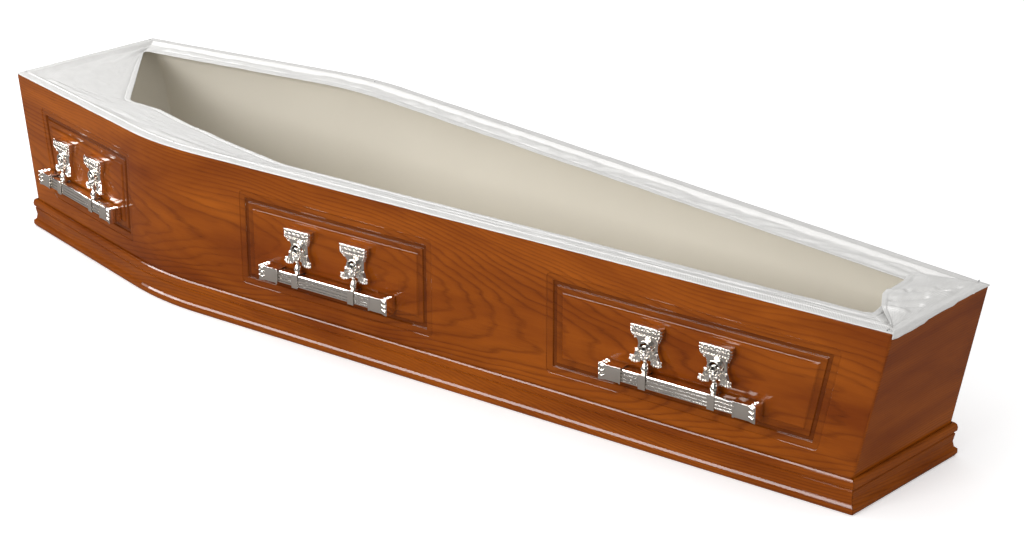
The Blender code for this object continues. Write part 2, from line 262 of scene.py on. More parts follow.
# Plan of the box
def side_y(x, off):
    """Y of the far side at x, off metres outside its outer face."""
    reach = BEND_RADIUS / math.cos((ANGLE_HEAD + ANGLE_FOOT) / 2)
    middle = (ANGLE_FOOT - ANGLE_HEAD) / 2
    cx, cy = SHOULDER_X - reach * math.sin(middle), HALF_SHOULDER - reach * math.cos(middle)
    radius = BEND_RADIUS + off
    if x < cx - radius * math.sin(ANGLE_HEAD):
        return HALF_SHOULDER + (x - SHOULDER_X) * math.tan(ANGLE_HEAD) + off / math.cos(ANGLE_HEAD)
    if x > cx + radius * math.sin(ANGLE_FOOT):
        return HALF_SHOULDER - (x - SHOULDER_X) * math.tan(ANGLE_FOOT) + off / math.cos(ANGLE_FOOT)
    return cy + math.sqrt(radius ** 2 - (x - cx) ** 2)


def wall_end(end, off, z):
    """X where a wall ends at its mitre: end is 1 at the foot, -1 at the head."""
    return end * (LENGTH / 2 - END_LEAN * (HEIGHT - z) + off / COS_LEAN)


def mix(a, b, part):
    return tuple(p * (1 - part) + q * part for p, q in zip(a, b))


def between(table, share):
    """The value that a table of (share, value) steps gives, in straight lines from step to step."""
    for (low, first), (high, second) in zip(table, table[1:]):
        if share <= high:
            return first + (second - first) * (share - low) / (high - low)
    return table[-1][1]


def step_up(x, low, high):
    """0 below low, 1 above high, smooth between."""
    x = min(max((x - low) / (high - low), 0), 1)
    return x * x * (3 - 2 * x)


# Veneer: how close its year rings lie, and how fast the cut runs through them from head to foot
CROWN_RINGS, CROWN_ARCH = 260.0, 0.078
PLAIN_RINGS, PLAIN_ARCH = 230.0, 0.03

# Colours of the stained wood and of the painted shade in its grooves, and of the cloths and the nails from
# dark to light
STAIN_DEEP, STAIN_PALE = (0.150, 0.0290, 0.0022, 1), (0.300, 0.0740, 0.0052, 1)
STAIN_LINE, PAINTED_GROOVE_SHADE = (0.085, 0.015, 0.0015, 1), (0.045, 0.008, 0.0010, 1)
STAIN_PORE = (0.045, 0.009, 0.0020, 1)
# The satin's deep colour is painted shade, laid in the hollows of its creases
SATIN_DEEP, SATIN_PALE = (0.58, 0.572, 0.556, 1), (0.71, 0.702, 0.686, 1)
CREAM_DEEP, CREAM_PALE = (0.72, 0.676, 0.585, 1), (0.78, 0.735, 0.640, 1)
STEEL_DEEP, STEEL_PALE = (0.10, 0.10, 0.10, 1), (0.25, 0.25, 0.25, 1)

# Metres between the fine gathers of the satin, and between threads
SATIN_PITCH = 0.0042
THREAD = 0.0007


# Shader building
def link_in(tree, socket, value):
    if isinstance(value, bpy.types.NodeSocket):
        tree.links.new(value, socket)
    else:
        socket.default_value = value


def node(tree, kind, inputs=None, **settings):
    """A shader node with its settings, and its inputs given as values or as other nodes' sockets."""
    made = tree.nodes.new(kind)
    for name, value in settings.items():
        setattr(made, name, value)
    for name, value in (inputs or {}).items():
        link_in(tree, made.inputs[name], value)
    return made


def calc(tree, operation, *values):
    return node(tree, "ShaderNodeMath", dict(enumerate(values)), operation=operation).outputs[0]


def stretch(tree, vector, scale, place=(0, 0, 0), turn=(0, 0, 0)):
    return node(tree, "ShaderNodeMapping", {"Vector": vector, "Scale": scale, "Location": place,
                                            "Rotation": turn}).outputs[0]


def speckle(tree, vector, scale, detail=2, rough=0.5, warp=0):
    return node(tree, "ShaderNodeTexNoise", {"Vector": vector, "Scale": scale, "Detail": detail,
                                             "Roughness": rough, "Distortion": warp}).outputs[0]


def ramp(tree, value, stops, smooth_steps=False):
    """A ramp of greys; each stop is a position and a grey."""
    made = node(tree, "ShaderNodeValToRGB", {"Fac": value})
    scale = made.color_ramp
    if smooth_steps:
        scale.interpolation = "EASE"
    while len(scale.elements) < len(stops):
        scale.elements.new(0.5)
    for element, (position, grey) in zip(scale.elements, stops):
        element.position = position
        element.color = (grey, grey, grey, 1)
    return made.outputs[0]


def blend_colour(tree, factor, first, second):
    made = node(tree, "ShaderNodeMix", data_type="RGBA")
    link_in(tree, made.inputs[0], factor)
    link_in(tree, made.inputs[6], first)
    link_in(tree, made.inputs[7], second)
    return made.outputs[2]


def group(name, inputs, outputs):
    """An empty shader node group with float or vector inputs; returns it with its two ends."""
    tree = bpy.data.node_groups.new(name, "ShaderNodeTree")
    for label, kind, value in inputs:
        socket = tree.interface.new_socket(label, in_out="INPUT", socket_type=kind)
        if value is not None:
            socket.default_value = value
    for label, kind in outputs:
        tree.interface.new_socket(label, in_out="OUTPUT", socket_type=kind)
    return tree, tree.nodes.new("NodeGroupInput").outputs, tree.nodes.new("NodeGroupOutput").inputs


def use(tree, shared, **inputs):
    """Places a shared node group in a material."""
    made = tree.nodes.new("ShaderNodeGroup")
    made.node_tree = shared
    for name, value in inputs.items():
        link_in(tree, made.inputs[name], value)
    return made.outputs


def material(name, **values):
    """A new Principled material with plain values; returns it, its tree and its shader."""
    mat = bpy.data.materials.new(name)
    mat.use_nodes = True
    shader = mat.node_tree.nodes["Principled BSDF"]
    for label, value in values.items():
        shader.inputs[label.replace("_", " ")].default_value = value
    return mat, mat.node_tree, shader


def veneer_figure():
    """Crown-cut veneer: nested arches that point towards +X, wander and close at the flanks; open pores."""
    tree, inp, out = group("veneer_figure",
                           [("Vector", "NodeSocketVector", None), ("Rings", "NodeSocketFloat", CROWN_RINGS),
                            ("Arch", "NodeSocketFloat", CROWN_ARCH)],
                           [("Figure", "NodeSocketFloat"), ("Pores", "NodeSocketFloat"),
                            ("Tone", "NodeSocketFloat")])
    vector = inp["Vector"]
    parts = node(tree, "ShaderNodeSeparateXYZ", {"Vector": vector})
    drift = speckle(tree, stretch(tree, vector, (0.8, 0.3, 0.0)), 1.0, 1)
    heart = calc(tree, "MULTIPLY_ADD", drift, 0.36, -0.03)
    across = calc(tree, "ABSOLUTE", calc(tree, "SUBTRACT", parts.outputs[2], heart))
    taper = calc(tree, "MULTIPLY", calc(tree, "ADD", parts.outputs[0], 1.35), inp["Arch"])
    swing = speckle(tree, stretch(tree, vector, (1.6, 0.5, 0.0), (7.3, 2.1, 0)), 1.0, 2, 0.45)
    taper = calc(tree, "MULTIPLY_ADD", swing, 0.06, taper)
    radius = calc(tree, "SQRT", calc(tree, "ADD", calc(tree, "MULTIPLY", across, across),
                                     calc(tree, "MULTIPLY", taper, taper)))
    wobble = speckle(tree, stretch(tree, vector, (2.4, 2.4, 17)), 1.0, 3, 0.5)
    ripple = speckle(tree, stretch(tree, vector, (11, 11, 110)), 1.0, 2, 0.5)
    radius = calc(tree, "MULTIPLY_ADD", wobble, 0.022, calc(tree, "MULTIPLY_ADD", ripple, 0.0015, radius))
    year = calc(tree, "FRACT", calc(tree, "MULTIPLY", calc(tree, "POWER", radius, 1.35), inp["Rings"]))
    late_wood = [(0.0, 0.70), (0.12, 0.10), (0.45, 0.05), (0.74, 0.34), (0.92, 1.0), (1.0, 0.70)]
    line = ramp(tree, year, late_wood, True)
    patches = speckle(tree, stretch(tree, vector, (2.2, 2.2, 14), (3, 1, 0)), 1.0, 3, 0.55)
    fade = ramp(tree, patches, [(0.3, 0.25), (0.65, 1.0)])
    fibre = speckle(tree, stretch(tree, vector, (9, 9, 420)), 1.0, 3, 0.6)
    figure = calc(tree, "MULTIPLY_ADD", calc(tree, "SUBTRACT", fibre, 0.5), 0.55,
                  calc(tree, "MULTIPLY", line, fade))
    streak = speckle(tree, stretch(tree, vector, (34, 34, 1100)), 1.0, 3, 0.6)
    pores = ramp(tree, streak, [(0.56, 0.0), (0.70, 1.0)])
    tree.links.new(node(tree, "ShaderNodeClamp", {"Value": figure}).outputs[0], out["Figure"])
    tree.links.new(calc(tree, "MULTIPLY", pores, calc(tree, "MULTIPLY_ADD", line, 0.8, 0.2)), out["Pores"])
    clouds = speckle(tree, stretch(tree, vector, (2.4, 2.4, 9)), 1.0, 4, 0.55, 0.5)
    tree.links.new(ramp(tree, clouds, [(0.34, 0.0), (0.68, 1.0)]), out["Tone"])
    return tree


def lacquered_wood(name, figure, turn=(0, 0, 0), shift=(0, 0, 0), rings=CROWN_RINGS, arch=CROWN_ARCH):
    """Red-brown stained veneer under clear gloss lacquer."""
    mat, tree, shader = material(name, Roughness=0.5, Specular_IOR_Level=0.0, Coat_Weight=0.62,
                                 Coat_Roughness=0.03, Coat_IOR=1.47)
    place = node(tree, "ShaderNodeTexCoord").outputs["Object"]
    grain = use(tree, figure, Vector=stretch(tree, place, (1, 1, 1), shift, turn), Rings=rings, Arch=arch)
    stain_and_groove_shade = blend_colour(tree, grain["Tone"], STAIN_DEEP, STAIN_PALE)
    # Painted shade: the grooves of the mouldings are darkened by how deep they lie
    groove_shade = node(tree, "ShaderNodeAttribute", attribute_name="groove_shade").outputs["Fac"]
    for mask, share, colour in ((grain["Figure"], 0.55, STAIN_LINE), (groove_shade, 0.55, PAINTED_GROOVE_SHADE),
                                (grain["Pores"], 0.5, STAIN_PORE)):
        stain_and_groove_shade = blend_colour(tree, calc(tree, "MULTIPLY", mask, share), stain_and_groove_shade, colour)
    tree.links.new(stain_and_groove_shade, shader.inputs["Base Color"])
    tree.links.new(calc(tree, "MULTIPLY_ADD", grain["Figure"], 0.2, 0.4), shader.inputs["Roughness"])
    relief = node(tree, "ShaderNodeBump", {"Strength": 0.10, "Distance": 0.0003, "Height": grain["Figure"]})
    tree.links.new(relief.outputs[0], shader.inputs["Normal"])
    return mat


def polished_nickel(name, ripple_strength, low, high):
    """Nickel plate from grey low to grey high, faintly warm, with handling haze and a casting's ripple."""
    mat, tree, shader = material(name, Metallic=1.0, Specular_IOR_Level=0.5)
    place = node(tree, "ShaderNodeTexCoord").outputs["Object"]
    haze = speckle(tree, place, 45, 4, 0.6)
    tint = blend_colour(tree, haze, (low, low * 0.955, low * 0.895, 1), (high, high * 0.965, high * 0.92, 1))
    tree.links.new(tint, shader.inputs["Base Color"])
    tree.links.new(calc(tree, "MULTIPLY_ADD", haze, 0.14, 0.05), shader.inputs["Roughness"])
    ripple = node(tree, "ShaderNodeBump", {"Strength": ripple_strength, "Distance": 0.0004,
                                           "Height": speckle(tree, place, 160, 2)})
    tree.links.new(ripple.outputs[0], shader.inputs["Normal"])
    return mat


def cloth_ribs():
    """Fine gathers across a strip: UV X runs along the strip and Y across it, in metres."""
    tree, inp, out = group("cloth_ribs",
                           [("Vector", "NodeSocketVector", None), ("Pitch", "NodeSocketFloat", SATIN_PITCH)],
                           [("Gathers", "NodeSocketFloat"), ("Creases", "NodeSocketFloat"),
                            ("Weave", "NodeSocketFloat")])
    vector = inp["Vector"]
    warp = speckle(tree, stretch(tree, vector, (30, 45, 1)), 1.0, 2)
    parts = node(tree, "ShaderNodeSeparateXYZ", {"Vector": vector})
    along = calc(tree, "MULTIPLY_ADD", warp, 0.012, parts.outputs[0])
    wave = calc(tree, "SINE", calc(tree, "MULTIPLY", calc(tree, "DIVIDE", along, inp["Pitch"]), math.tau))
    tree.links.new(calc(tree, "MULTIPLY_ADD", wave, 0.5, 0.5), out["Gathers"])
    tree.links.new(speckle(tree, stretch(tree, vector, (35, 150, 1)), 1.0, 4, 0.6, 0.6), out["Creases"])
    turns = [calc(tree, "MULTIPLY", parts.outputs[way], math.tau / THREAD) for way in (0, 1)]
    tree.links.new(calc(tree, "MULTIPLY", *(calc(tree, "SINE", turn) for turn in turns)), out["Weave"])
    return tree


def white_satin(ribs):
    mat, tree, shader = material("white_satin", Sheen_Weight=0.15, Sheen_Roughness=0.35,
                                 Specular_IOR_Level=0.18)
    place = node(tree, "ShaderNodeUVMap").outputs[0]
    cloth = use(tree, ribs, Vector=place, Pitch=SATIN_PITCH)
    # Painted shade: the satin is darker where the bump of its creases is low and paler where it is high
    colour = blend_colour(tree, cloth["Creases"], SATIN_DEEP, SATIN_PALE)
    tree.links.new(colour, shader.inputs["Base Color"])
    tree.links.new(calc(tree, "MULTIPLY_ADD", cloth["Creases"], 0.2, 0.36), shader.inputs["Roughness"])
    height = calc(tree, "MULTIPLY_ADD", cloth["Gathers"], 0.35, calc(tree, "MULTIPLY", cloth["Creases"], 1.2))
    gathers = node(tree, "ShaderNodeBump", {"Strength": 0.55, "Distance": 0.0012, "Height": height})
    tree.links.new(gathers.outputs[0], shader.inputs["Normal"])
    return mat


def cream_cloth(ribs):
    mat, tree, shader = material("cream_cloth", Sheen_Weight=0.15, Sheen_Roughness=0.6, Roughness=0.85,
                                 Specular_IOR_Level=0.2)
    place = node(tree, "ShaderNodeUVMap").outputs[0]
    cloth = use(tree, ribs, Vector=place)
    cloudy = speckle(tree, stretch(tree, place, (4, 4, 1)), 1.0, 3)
    colour = blend_colour(tree, cloudy, CREAM_DEEP, CREAM_PALE)
    tree.links.new(colour, shader.inputs["Base Color"])
    thread = node(tree, "ShaderNodeBump", {"Strength": 0.25, "Distance": 0.0003, "Height": cloth["Weave"]})
    tree.links.new(thread.outputs[0], shader.inputs["Normal"])
    return mat


def nail_steel():
    mat, tree, shader = material("nail_steel", Metallic=1.0, Roughness=0.4)
    place = node(tree, "ShaderNodeTexCoord").outputs["Object"]
    tint = blend_colour(tree, speckle(tree, place, 300, 2), STEEL_DEEP, STEEL_PALE)
    tree.links.new(tint, shader.inputs["Base Color"])
    return mat


# Wooden pieces
def weighted_bevel(obj, width, weight_of, segments=3):
    """Eases edges by a weight that a rule gives each edge."""
    bm = bmesh.new()
    bm.from_mesh(obj.data)
    weights = bm.edges.layers.float.get("bevel_weight_edge") or bm.edges.layers.float.new("bevel_weight_edge")
    for edge in bm.edges:
        edge[weights] = weight_of(edge)
    bm.to_mesh(obj.data)
    bm.free()
    finish_with(obj, "BEVEL", width=width, segments=segments, limit_method="WEIGHT", harden_normals=True,
                use_clamp_overlap=False)


def moulded(edge):
    """How far an edge of a moulding is eased: most where two broad faces meet, little where it is shallow."""
    flat, shallow, broad, sharp = 8.5, 38, 58, 72
    angle = math.degrees(edge.calc_face_angle(0))
    if max(vert.co.z for vert in edge.verts) > HEIGHT - 0.01 or angle < flat:
        return 0.0
    return 1.0 if broad < angle < sharp else 0.55 if angle > shallow else 0.28


def mark_groove_shade(obj):
    """Notes how deep each point of the side mouldings lies, for the painted shade that darkens the grooves.
    """
    groove_shade = obj.data.attributes.new("groove_shade", "FLOAT", "POINT")
    for vert, item in zip(obj.data.vertices, groove_shade.data):
        depth = side_y(vert.co.x, 0) - abs(vert.co.y)
        inside = abs(vert.co.x) < wall_end(1, 0, vert.co.z) - GROOVE_END
        item.value = min(max(depth / GROOVE_FULL, 0), 1) if inside and depth < GROOVE_LIMIT else 0.0


def carcass(side_mat, end_mat):
    """The four walls as one: mitres closed, corners rounded over, panel mouldings eased."""
    nodes = ["side_board_near", "side_board_far", "end_board_head", "end_board_foot"]
    walls = joined("carcass", [carried(name) for name in nodes])
    edit_faces(walls)
    bpy.ops.mesh.remove_doubles(threshold=0.0006)
    bpy.ops.mesh.select_all(action="DESELECT")
    bpy.ops.mesh.select_interior_faces()
    bpy.ops.mesh.delete(type="FACE")
    bpy.ops.object.mode_set(mode="OBJECT")

    def corner(edge):
        a, b = (vert.co for vert in edge.verts)
        at_end = all(abs(abs(p.x) - wall_end(1, 0, p.z)) < 0.001 for p in (a, b))
        if at_end and abs(a.z - b.z) > 0.1:
            return 1.0
        return 0.35 if min(a.z, b.z) > HEIGHT - 0.0005 else 0.0

    weighted_bevel(walls, CORNER_ROUND, corner, 4)
    weighted_bevel(walls, MOULDING_EASE, moulded)
    for face in walls.data.polygons:
        face.use_smooth = True
    finish_with(walls, "WEIGHTED_NORMAL", weight=50, keep_sharp=True)
    # Painted shade: a mask of groove depth that darkens the mouldings
    mark_groove_shade(walls)
    dress(walls, "carcass", side_mat, "wood", "box", *nodes)
    walls.data.materials.append(end_mat)
    for face in walls.data.polygons:
        face.material_index = int(abs(face.normal.x) > 0.75)


def plinth_lengths(side_mat, end_mat):
    for name in ("near", "far", "head", "foot"):
        length = carried(f"plinth_{name}")
        finish_with(length, "BEVEL", width=PLINTH_EASE, segments=3, limit_method="ANGLE",
                    angle_limit=math.radians(12), harden_normals=True)
        mat = side_mat if name in ("near", "far") else end_mat
        dress(length, f"plinth_{name}_moulding", mat, "wood", "box", f"plinth_{name}")


def base(mat):
    board = finish_with(carried("base_board"), "BEVEL", width=BASE_EASE, segments=2, limit_method="ANGLE",
                        angle_limit=math.radians(30))
    dress(smooth(board, 30), "base_panel", mat, "wood", "box", "base_board")


# Handles
MM = 0.001
ACROSS = (0, math.pi / 2, 0)
OUTWARD = (math.pi / 2, 0, 0)
# The number of an arm, plate or cap in its name, and its side of the handle's middle
ENDS = ((1, -1), (2, 1))
# Heights and lengths in mm: the bar's middle, the sleeve round it, and from the handle's middle to a cap's
BAR_Z = -BAR_DROP / MM
SLEEVE = (13, 21.2, 24.7)
CAP_X = 133.6
# Hollows round the hinge line that take the painted shade, in mm: radius, and from where to where outwards
KNOB_HOLLOW = (3.6, 2.0, 5.4)
PLATE_HOLLOW = (9.6, -20.0, 2.6)
# Ornament of one half of a plate, in mm: side ribs as x, z and length; flutes as x, z and lean; scrolls
# of the skirt as x, y, z and radius
SIDE_RIBS = ((25.2, 32.8, 12.5), (25.4, 28.0, 12.5), (25.0, 23.2, 12.5), (22.6, 18.6, 11.5),
             (20.0, 14.2, 10.0))
FLUTES = ((13.5, -12.5, 0.12), (17.0, -13.5, 0.24), (20.4, -14.8, 0.38))
SCROLLS = ((28.0, -0.8, -23.4, 2.1), (24.0, 0.0, -25.2, 1.9), (19.5, 0.2, -25.6, 1.8),
           (15.2, 0.0, -25.0, 1.7), (27.4, -1.6, -18.6, 1.8), (19.3, -3.2, -7.6, 2.2))
LEAF_STEP = 9.8


def mm(*values):
    return tuple(value * MM for value in values)


def pivots():
    """Each handle's name, its body and its place: X along the hinge, Y outwards, Z up."""
    for joint in frame["joints"]:
        across = Vector(joint["axis"]).normalized()
        up = Vector((0, 0, 1))
        turn = Matrix((across, up.cross(across), up)).transposed().to_4x4()
        yield joint["name"].removeprefix("swing_"), joint["child"], Matrix.Translation(joint["pos_m"]) @ turn


def plate_ornament():
    """Leaf work of the crown, ribs down its sides, hood, flutes and scrolls of the skirt."""
    parts = []
    for step in range(-2, 3):
        x = step * LEAF_STEP
        parts.append(ball(mm(3.2, 1.7, 6.0), mm(x, 2.5, 27.8)))
        parts.append(ball(mm(1.5, 1.0, 3.2), mm(x, 4.0, 26.0)))
        parts.append(ball(mm(2.1, 1.4, 1.9), mm(x, 3.0, 20.4)))
        for side in (-1, 1):
            parts.append(ball(mm(1.5, 1.3, 5.0), mm(x + side * 3.6, 2.6, 25.5), (0, side * 0.5, 0)))
            parts.append(ball(mm(1.3, 1.1, 1.5), mm(x + side * 4.6, 2.9, 20.9)))
    parts.append(rod(0.9 * MM, 50.6 * MM, mm(0, 2.5, 33.9), ACROSS, 12))
    for side in (-1, 1):
        for x, z, deep in SIDE_RIBS:
            parts.append(rod(1.6 * MM, deep * MM, mm(side * x, deep / 2 - 11.5, z), OUTWARD, 12, 0.0004))
            parts.append(ball(2.1 * MM, mm(side * x, deep - 11.0, z)))
            parts.append(ball(1.5 * MM, mm(side * (x + 1.3), deep - 14.8, z - 2.2)))
        for x, z, lean in FLUTES:
            parts.append(ball(mm(1.2, 1.5, 7.4), mm(side * x, -1.5, z), (0, -side * lean, 0)))
        parts.append(ring(3.1 * MM, 1.2 * MM, mm(side * 23.8, 0.2, -20.3), OUTWARD, 20))
        parts.append(ball(1.7 * MM, mm(side * 23.8, 0.8, -20.3)))
        for x, y, z, size in SCROLLS:
            parts.append(ball(size * MM, mm(side * x, y, z)))
    hood = ring(10.9 * MM, 1.6 * MM, mm(0, 3.2, 0), OUTWARD, 36, 10)
    edit_faces(hood)
    bpy.ops.mesh.bisect(plane_co=mm(0, 0, -2), plane_no=(0, 0, 1), use_fill=True, clear_inner=True)
    bpy.ops.object.mode_set(mode="OBJECT")
    parts.append(hood)
    return joined("plate_ornament", parts)


def handle_plate(pivot):
    """The casting that is screwed to the board: bell body from the frame, with its leaf work."""
    body = carried("handle_plate_near_foot_1")
    body.data.transform((pivot @ Matrix.Translation((-ARM_SPACING / 2, 0, 0))).inverted())
    eased(body, width=0.0009, degrees=20)
    return joined("handle_plate", [body, plate_ornament()])


def arm():
    """Knob on its pins, claw of leaves, neck, ball, collar and the sleeve round the bar."""
    bpy.ops.mesh.primitive_cube_add(size=1, location=(0, 0, -BAR_DROP))
    sleeve = bpy.context.object
    sleeve.scale = mm(*SLEEVE)
    edit_faces(place_in_mesh(sleeve), lambda face: abs(face.normal.x) > 0.9)
    bpy.ops.mesh.delete(type="FACE")
    bpy.ops.object.mode_set(mode="OBJECT")
    finish_with(sleeve, "SOLIDIFY", thickness=0.0012, offset=-1)
    parts = [eased(sleeve, width=0.0006, degrees=40)]
    top = BAR_Z + SLEEVE[2] / 2
    parts.append(rod(5.7 * MM, 1.8 * MM, mm(0, 0, top + 0.7), sides=28))
    parts.append(rod(3.9 * MM, 2.4 * MM, mm(0, 0, top + 2.0), sides=24))
    parts.append(ball(6.8 * MM, mm(0, 0, top + 7.0), segments=28, rings=18))
    parts.append(ring(3.3 * MM, 1.1 * MM, mm(0, 0, -26.5)))
    parts.append(rod(2.7 * MM, 12 * MM, mm(0, 0, -24.5)))
    parts.append(ball(mm(4.8, 5.9, 9.5), mm(0, 0, -13.0), segments=16, rings=12))
    parts.append(ball(mm(2.2, 2.0, 7.0), mm(0, 5.2, -12.5), (0.25, 0, 0)))
    for side in (-1, 1):
        parts.append(ball(mm(2.3, 4.2, 7.6), mm(side * 4.9, 0.6, -11.5), (0, side * 0.38, 0)))
        parts.append(ball(mm(1.6, 1.8, 4.2), mm(side * 4.6, 4.2, -15.6), (0.2, side * 0.5, 0)))
        parts.append(ball(1.9 * MM, mm(side * 6.6, 3.0, -5.4)))
    parts.append(rod(1.9 * MM, 26.6 * MM, (0, 0, 0), ACROSS, 16))
    bpy.ops.mesh.primitive_cylinder_add(vertices=32, radius=4.6 * MM, depth=12.4 * MM, rotation=OUTWARD)
    knob = place_in_mesh(bpy.context.object)
    edit_faces(knob, lambda face: face.normal.y > 0.9)
    bpy.ops.mesh.inset(thickness=1.2 * MM)
    bpy.ops.mesh.extrude_region_move(TRANSFORM_OT_translate={"value": mm(0, -2.8, 0)})
    bpy.ops.transform.resize(value=(0.62, 1, 0.62), center_override=(0, 0, 0))
    bpy.ops.object.mode_set(mode="OBJECT")
    parts.append(eased(knob, width=0.0005, degrees=40))
    parts.append(ring(4.7 * MM, 0.8 * MM, mm(0, 4.4, 0), OUTWARD, 32))
    parts.append(ring(4.6 * MM, 0.6 * MM, mm(0, 1.0, 0), OUTWARD, 32))
    return joined("arm", parts)


def bar(pivot):
    body = carried("bar_near_foot")
    body.data.transform(pivot.inverted())
    return eased(body, width=0.0002, degrees=20, segments=2)


def bar_cap(pivot, number, end):
    """A hollow end cap with a flared tip covered in leaves."""
    body = carried(f"bar_cap_near_foot_{number}")
    body.data.transform(pivot.inverted())
    parts = [eased(body, width=0.0006)]
    x, z = end * CAP_X, BAR_Z
    for rise in (-8.0, 0.0, 8.0):
        parts.append(ball(mm(4.4, 1.3, 2.9), mm(x, 11.7, z + rise), (0, 0.35 * end, 0)))
        parts.append(ball(mm(2.2, 1.1, 1.5), mm(x - end * 4.4, 11.2, z + rise + 2.8)))
        parts.append(ball(1.3 * MM, mm(x + end * 3.6, 12.3, z + rise + 3.8)))
    for out in (-7.0, 0.0, 7.0):
        parts.append(ball(mm(4.4, 2.6, 1.2), mm(x, out, z + 13.2), (0, 0, 0.3)))
        parts.append(ball(mm(2.0, 1.4, 1.0), mm(x - end * 4.6, out + 2.6, z + 12.7)))
    return joined("bar_cap", parts)


def paint_hollow_shade(obj, mat, place, radius, low, high):
    """Gives the faces round the hinge line, low to high mm out from it, a dark metal as painted shade in the
    hollow.
    """
    obj.data.materials.append(mat)
    back = place.inverted()
    for face in obj.data.polygons:
        x, y, z = back @ face.center
        if math.hypot(x, z) < radius * MM and low * MM < y < high * MM:
            face.material_index = 1


def handles(cast, drawn, hollow_shade):
    """Six handles, copied from one set of parts."""
    places = list(pivots())
    first = next(place for name, _, place in places if name == "near_foot")
    plate, swing_arm, reeded = handle_plate(first), arm(), bar(first)
    caps = [bar_cap(first, number, end) for number, end in ENDS]
    for name, body, place in places:
        dress(copied(reeded, place), f"reeded_bar_{name}", drawn, "nickel", body, f"bar_{name}")
        for number, end in ENDS:
            shift = place @ Matrix.Translation((end * ARM_SPACING / 2, 0, 0))
            key = f"{name}_{number}"
            dress(copied(caps[number - 1], place), f"leaf_cap_{key}", cast, "nickel", body, f"bar_cap_{key}")
            arm_copy, plate_copy = copied(swing_arm, shift), copied(plate, shift)
            dress(arm_copy, f"swing_arm_{key}", cast, "nickel", body, f"arm_{key}")
            # Painted shade and painted reflection in the hollows of the arm and the plate
            paint_hollow_shade(arm_copy, hollow_shade, shift, *KNOB_HOLLOW)
            dress(plate_copy, f"leaf_plate_{key}", cast, "nickel", "box", f"handle_plate_{key}")
            paint_hollow_shade(plate_copy, hollow_shade, shift, *PLATE_HOLLOW)
    remove(plate, swing_arm, reeded, *caps)


# Cloth
def cloth_grid(name, rows, closed, uv):
    """A sheet from rows of points, with its UVs in metres."""
    bm = bmesh.new()
    layer = bm.loops.layers.uv.new("UVMap")
    grid = [[bm.verts.new(point) for point in row] for row in rows]
    pairs = list(range(len(rows) - 1)) + ([len(rows) - 1] if closed else [])
    for i in pairs:
        j = (i + 1) % len(rows)
        for k in range(len(rows[0]) - 1):
            face = bm.faces.new((grid[i][k], grid[i][k + 1], grid[j][k + 1], grid[j][k]))
            face.smooth = True
            for loop, (a, b) in zip(face.loops, ((i, k), (i, k + 1), (i + 1, k + 1), (i + 1, k))):
                loop[layer].uv = uv(a, b)
    return from_faces(name, bm)


def fold(x, y, z=0.0):
    """Smooth noise between about -1 and 1."""
    return noise.noise(Vector((x, y, z)))


def frill_runs():
    """Steps along the rim, far side, foot end, near side, head end: outer edge, edge of the board, hem."""
    inner_off = -BOARD - FRILL_WIDTH
    sides = {}
    for side, head, foot in ((1, FRILL_HEAD_FAR, FRILL_FOOT_FAR), (-1, FRILL_HEAD_NEAR, FRILL_FOOT_NEAR)):
        head_x, foot_x = wall_end(-1, -BOARD, HEIGHT) + head, wall_end(1, -BOARD, HEIGHT) - foot
        run = []
        for step in range(SIDE_STEPS + 1):
            part = step / SIDE_STEPS
            x = LENGTH * (part - 0.5)
            inner = head_x * (1 - part) + foot_x * part
            swell = between(FRILL_SWELL, part) if side < 0 else 0
            edge = wall_end(-1, -ON_BOARD, HEIGHT) * (1 - part) + wall_end(1, -ON_BOARD, HEIGHT) * part
            run.append(((x, side * side_y(x, 0)), (edge, side * side_y(edge, -ON_BOARD)),
                        (inner, side * (side_y(inner, inner_off) - swell))))
        sides[side] = run

    def across(start, end, count):
        return [tuple(mix(p, q, k / count) for p, q in zip(start, end)) for k in range(1, count)]

    foot_end = across(sides[1][-1], sides[-1][-1], FOOT_STEPS)
    head_end = across(sides[-1][0], sides[1][0], HEAD_STEPS)
    return sides[1] + foot_end + sides[-1][::-1] + head_end


def eased_line(points, reach):
    """Points of a closed line, each the mean of those around it."""
    count = len(points)
    smoothed = []
    for i in range(count):
        near = [points[(i + k) % count] for k in range(-reach, reach + 1)]
        smoothed.append(Vector((sum(p[0] for p in near) / len(near), sum(p[1] for p in near) / len(near))))
    return smoothed


def across_frill(width):
    """Where the satin has points, in from its outer edge: closest at the edge of the board and at the hem."""
    hem, on_top = width - HEM, ON_TOP_STEPS[-1]
    flange = hem - 0.0006 - on_top
    steps = [on_top + flange * (k + 1) / FLANGE_STEPS for k in range(FLANGE_STEPS)]
    turned = [hem - 0.0002, hem + 0.0010, hem + 0.004, hem + 0.008, width - 0.003, width - 0.001, width]
    return [*ON_TOP_STEPS, *steps, *turned]


def looseness(d, hem):
    """How free the satin is, d in from its outer edge: held on the board, loose beyond, stiff at the hem."""
    return step_up(d, 0.020, 0.034) * (1 - 0.7 * step_up(d, hem - 0.004, hem + 0.002))


